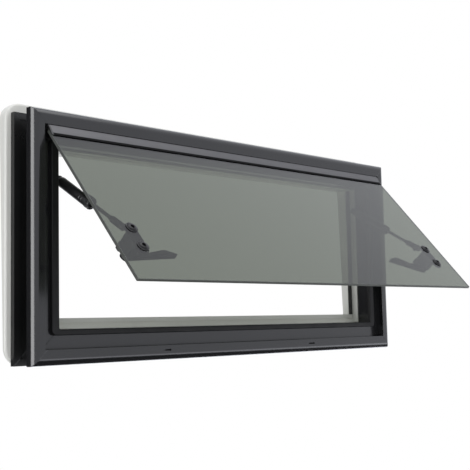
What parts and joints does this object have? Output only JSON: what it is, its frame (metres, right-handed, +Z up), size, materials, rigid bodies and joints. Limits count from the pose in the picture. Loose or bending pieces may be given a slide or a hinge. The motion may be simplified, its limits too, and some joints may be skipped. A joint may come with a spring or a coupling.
{
  "type": "caravan window",
  "caption": "Top-hung caravan window: black frame that clamps a thin wall, smoked glass sash standing open on telescopic stays, turning latches and a cream inner frame.",
  "frame": {"origin": "on the flat back face of the outer flange, middle of its bottom rail", "axes": "+X to the right seen from outside, +Y through the wall to the inside, +Z up"},
  "size_m": [0.94, 0.3069, 0.426],
  "materials": {
    "black_coated_aluminium": "black powder coat, semi-gloss",
    "grey_aluminium": "dark grey anodised, satin",
    "seal_rubber": "matt black",
    "cream_plastic": "light cream, fine satin",
    "black_plastic": "black, satin",
    "gloss_black_plastic": "black, glossy",
    "blackened_steel": "black, semi-gloss",
    "smoked_glass": "smoked grey-green, polished edges"
  },
  "bodies": {
    "frame": {"outer_frame_top": "black_coated_aluminium", "outer_frame_bottom": "black_coated_aluminium", "outer_frame_left": "black_coated_aluminium", "outer_frame_right": "black_coated_aluminium", "clamp_frame_top": "black_coated_aluminium", "clamp_frame_bottom": "black_coated_aluminium", "clamp_frame_left": "black_coated_aluminium", "clamp_frame_right": "black_coated_aluminium", "pane_seal_top": "seal_rubber", "pane_seal_bottom": "seal_rubber", "pane_seal_left": "seal_rubber", "pane_seal_right": "seal_rubber", "interior_frame_top": "cream_plastic", "interior_frame_bottom": "cream_plastic", "interior_frame_left": "cream_plastic", "interior_frame_right": "cream_plastic", "hinge_rail": "black_coated_aluminium", "blind_guide_left": "black_plastic", "blind_guide_right": "black_plastic", "stay_bracket_left": "black_plastic", "stay_bracket_right": "black_plastic"},
    "sash": {"glass_pane": "smoked_glass", "sash_hinge_profile": "grey_aluminium", "sash_gasket": "seal_rubber", "hinge_end_cap_left": "black_plastic", "hinge_end_cap_right": "black_plastic", "latch_base_left": "black_plastic", "latch_base_right": "black_plastic", "upper_screw_left": "gloss_black_plastic", "upper_screw_right": "gloss_black_plastic", "lower_screw_left": "gloss_black_plastic", "lower_screw_right": "gloss_black_plastic"},
    "stay_sleeve_left": {"stay_sleeve_left": "black_plastic", "stay_sleeve_cap_left": "black_plastic"},
    "stay_rod_left": {"stay_rod_left": "blackened_steel", "stay_fitting_left": "black_plastic"},
    "latch_lever_left": {"latch_lever_left": "black_plastic"},
    "stay_sleeve_right": {"stay_sleeve_right": "black_plastic", "stay_sleeve_cap_right": "black_plastic"},
    "stay_rod_right": {"stay_rod_right": "blackened_steel", "stay_fitting_right": "black_plastic"},
    "latch_lever_right": {"latch_lever_right": "black_plastic"}
  },
  "joints": [
    {"name": "sash_hinge", "type": "hinge", "parent": "frame", "child": "sash", "pos_m": [0, -0.012, 0.3595], "axis": [1, 0, 0], "range_deg": [0, 41.7]},
    {"name": "stay_turn_left", "type": "hinge", "parent": "frame", "child": "stay_sleeve_left", "pos_m": [-0.3887, 0.016, 0.282], "axis": [1, 0, 0], "range_deg": [-1, 54.74]},
    {"name": "stay_slide_left", "type": "slide", "parent": "stay_sleeve_left", "child": "stay_rod_left", "axis": [0, -0.8669, -0.4985], "range_m": [-0.04816, 0.001]},
    {"name": "latch_turn_left", "type": "hinge", "parent": "sash", "child": "latch_lever_left", "pos_m": [-0.387, -0.16203, 0.14782], "axis": [0, -0.7466, 0.6652], "range_deg": [-35.4, 29.6]},
    {"name": "stay_turn_right", "type": "hinge", "parent": "frame", "child": "stay_sleeve_right", "pos_m": [0.3887, 0.016, 0.282], "axis": [1, 0, 0], "range_deg": [-1, 54.74]},
    {"name": "stay_slide_right", "type": "slide", "parent": "stay_sleeve_right", "child": "stay_rod_right", "axis": [0, -0.8669, -0.4985], "range_m": [-0.04816, 0.001]},
    {"name": "latch_turn_right", "type": "hinge", "parent": "sash", "child": "latch_lever_right", "pos_m": [0.387, -0.16203, 0.14782], "axis": [0, 0.7466, -0.6652], "range_deg": [-46.5, 18.5]}
  ],
  "couplings": [
    {"joint": "stay_turn_left", "follows": "sash_hinge", "ratio": 1.2887},
    {"joint": "stay_slide_left", "follows": "sash_hinge", "m_per_rad": -0.064805},
    {"joint": "stay_turn_right", "follows": "sash_hinge", "ratio": 1.2887},
    {"joint": "stay_slide_right", "follows": "sash_hinge", "m_per_rad": -0.064805}
  ]
}
